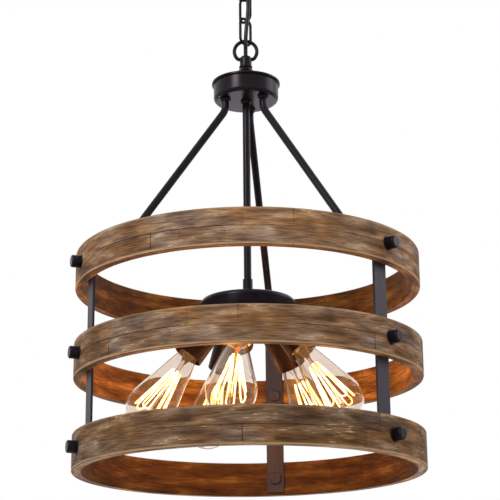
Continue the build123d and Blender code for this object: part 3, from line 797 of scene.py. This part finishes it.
def supply_cord(material):
    """The cord as one smooth line through the route, cut into a stretch for each joint that it bends across.

    Each stretch is a circle carried along its share of the line. The cuts are half-way between the joints,
    and below and above the whole cord.
    """
    bends = [next(joint for joint in frame["joints"] if joint["name"] == name) for name in cord_joints]
    heights = np.array([joint["pos_m"][2] for joint in bends])
    control = np.array(cord_route) * MM + UP * heights[0]
    route = bpy.data.curves.new("cord_line", "CURVE")
    route.dimensions = "3D"
    line = route.splines.new("NURBS")
    line.points.add(len(cord_route) - 1)
    line.points.foreach_set("co", np.column_stack([control, np.ones(len(control))]).ravel())
    line.order_u = 3
    line.use_endpoint_u = True
    line.resolution_u = 24
    guide = bpy.data.objects.new("cord_line", route)
    bpy.context.scene.collection.objects.link(guide)
    bpy.context.view_layer.update()
    traced = bpy.data.meshes.new_from_object(guide)
    points = np.empty(len(traced.vertices) * 3)
    traced.vertices.foreach_get("co", points)
    points = points.reshape(-1, 3)
    bpy.data.objects.remove(guide)
    bpy.data.curves.remove(route)
    bpy.data.meshes.remove(traced)

    cuts = np.concatenate([[-1.0], (heights[:-1] + heights[1:]) / 2, [0.0]])
    marks = np.searchsorted(points[:, 2], cuts)
    run = np.concatenate([[0], np.cumsum(np.linalg.norm(np.diff(points, axis=0), axis=1))])
    steps = 16
    girth = np.linspace(0, TURN * cord_radius, steps + 1)
    for number, joint in enumerate(bends, 1):
        first, last = marks[number - 1], min(marks[number] + 1, len(points))
        tube = wire_grid(points[first:last], np.array([1.0, 0.0, 0.0]), cord_radius, steps)
        length = np.concatenate([run[first : first + 1], run[first:last], run[last - 1 : last]])
        uv = np.stack(np.broadcast_arrays(length[:, None], girth[None, :]), axis=-1)
        stretch = skin(f"cord_stretch_{number}", tube, material, uv=("along_cord", uv), sharp=60)
        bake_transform(stretch)
        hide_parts("supply_cord")


def dress_nodes(finish, *names):
    """Give the CAD pieces whose shape stays a finish of their own."""
    for name in names:
        mesh = frame["nodes"][name].data
        mesh.materials.clear()
        mesh.materials.append(finish)


def window_lamp(name, place, size, watts, code):
    """Square soft light at a place, turned to face the middle of the light."""
    light = bpy.data.lights.new(name, "AREA")
    light.shape = "SQUARE"
    light.size = size
    light.energy = watts
    light.color = linear(code)[:3]
    lamp = bpy.data.objects.new(name, light)
    lamp.location = place
    lamp.rotation_euler = (Vector(window_target) - Vector(place)).to_track_quat("-Z", "Y").to_euler()
    bpy.context.scene.collection.objects.link(lamp)


def bulb_glow(number, origin, axes):
    """Small warm light at the heart of a bulb's cage, which moves with the bulb."""
    light = bpy.data.lights.new(f"bulb_glow_{number}", "POINT")
    light.energy = bulb_glow_watts
    light.color = linear("#FFB060")[:3]
    light.shadow_soft_size = 0
    lamp = bpy.data.objects.new(f"bulb_glow_{number}", light)
    lamp.location = origin + axes[2] * bulb_glow_distance
    bpy.context.scene.collection.objects.link(lamp)
    lamp.parent = frame["bodies"][f"bulb_{number}"]


def white_room():
    """World that is plain white to the camera, in gloss and through glass, and a dimmer light elsewhere."""
    world = bpy.data.worlds.new("white_room")
    world.use_nodes = True
    tree = world.node_tree
    tree.nodes.clear()
    ray = add(tree, "LightPath").outputs
    seen = ray["Is Camera Ray"]
    for kind in ("Is Glossy Ray", "Is Transmission Ray"):
        seen = add(tree, "Math", {0: seen, 1: ray[kind]}, operation="MAXIMUM").outputs[0]
    room = add(tree, "Background", {"Color": linear("#F4F2EF"), "Strength": 0.75}).outputs[0]
    white = add(tree, "Background", {"Color": linear("#FFFFFF"), "Strength": 1.0}).outputs[0]
    mixed = add(tree, "MixShader", {0: seen, 1: room, 2: white}).outputs[0]
    add(tree, "OutputWorld", {"Surface": mixed})
    bpy.context.scene.world = world


def painted_floor():
    """Pale square floor, a usual ceiling height below the origin."""
    reach = np.array([-floor_reach, floor_reach])
    across, deep = np.meshgrid(reach, reach)
    plane = bpy.data.meshes.new("floor")
    corners = np.stack([across, deep, np.full_like(across, floor_height)], axis=-1).reshape(-1, 3)
    plane.from_pydata(corners.tolist(), [], [(0, 1, 3, 2)])
    plane.materials.append(pale_floor_paint())
    floor = bpy.data.objects.new("floor", plane)
    bpy.context.scene.collection.objects.link(floor)


def viewing_camera():
    """Camera at the photograph's angle: turned by its yaw and pitch, then rolled about its line of sight."""
    camera = bpy.data.cameras.new("camera")
    camera.lens = camera_lens
    camera.sensor_width = 36
    camera.clip_end = 50
    forward = np.array(
        [
            math.sin(camera_yaw) * math.cos(camera_pitch),
            math.cos(camera_yaw) * math.cos(camera_pitch),
            math.sin(camera_pitch),
        ]
    )
    level = np.array([math.cos(camera_yaw), -math.sin(camera_yaw), 0.0])
    upright = np.cross(level, forward)
    right = math.cos(camera_roll) * level + math.sin(camera_roll) * upright
    top = -math.sin(camera_roll) * level + math.cos(camera_roll) * upright
    place = np.eye(4)
    stand = np.array([0.0, -camera_distance, ring_high[2] - camera_drop])
    place[:3] = np.stack([right, top, -forward, stand], axis=-1)
    viewer = bpy.data.objects.new("camera", camera)
    viewer.matrix_world = Matrix(place.tolist())
    bpy.context.scene.collection.objects.link(viewer)
    bpy.context.scene.camera = viewer
    bpy.context.scene.view_settings.view_transform = "Standard"


ring_low, ring_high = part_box("ring_top")
ring_height = ring_high[2] - ring_low[2]
strip_length = math.pi * (ring_high[0] - ring_low[0]) / strips_in_course

white_room()
painted_floor()
for name, settings in window_lamps.items():
    window_lamp(name, *settings)
viewing_camera()

wood = weathered_bent_wood()
for ring in ring_joint_azimuths:
    wooden_ring(ring, wood)

enamel = satin_black_enamel()
dress_nodes(enamel, "ceiling_canopy", "canopy_loop_holder", "canopy_ring")
dress_nodes(enamel, "chain_link_upper", "chain_link_lower")
dress_nodes(enamel, "hub_ring", "hub_loop_holder", "hub_lid", "hub_cup", "hub_ferrules")
dress_nodes(enamel, "arm_1", "arm_2", "arm_3", "arm_nuts", "cap_nuts", "centre_rod", "rod_sleeve")
dress_nodes(enamel, "cluster_pan", "cluster_cover", "cluster_finial")
dress_nodes(black_bar_painted_reflection(), "bar_1", "bar_2", "bar_3", "ring_bolts")
zinc = bright_zinc_plate()
dress_nodes(zinc, "ceiling_crossbar", "canopy_nipple", "canopy_nut")
dress_nodes(zinc, "hub_nuts", "rod_nuts", "socket_nipples")

bronze = bronzed_socket_shell()
porcelain = glazed_porcelain()
glass = clear_lamp_glass()
cap = brass_plated_cap()
strand = glowing_strand()
hook = hook_wire_painted_glow()
for number in range(1, bulb_count + 1):
    dress_nodes(bronze, f"socket_cup_{number}")
    dress_nodes(porcelain, f"socket_insert_{number}")
    origin, axes = lamp_place(first_bulb_azimuth + 360 / bulb_count * (number - 1))
    lamp_glass(number, origin, axes, glass)
    screw_cap(number, origin, axes, cap)
    glass_stem(number, origin, axes, glass)
    filament_cage(number, origin, axes, strand, hook)
    bulb_glow(number, origin, axes)

supply_cord(black_cord_jacket())
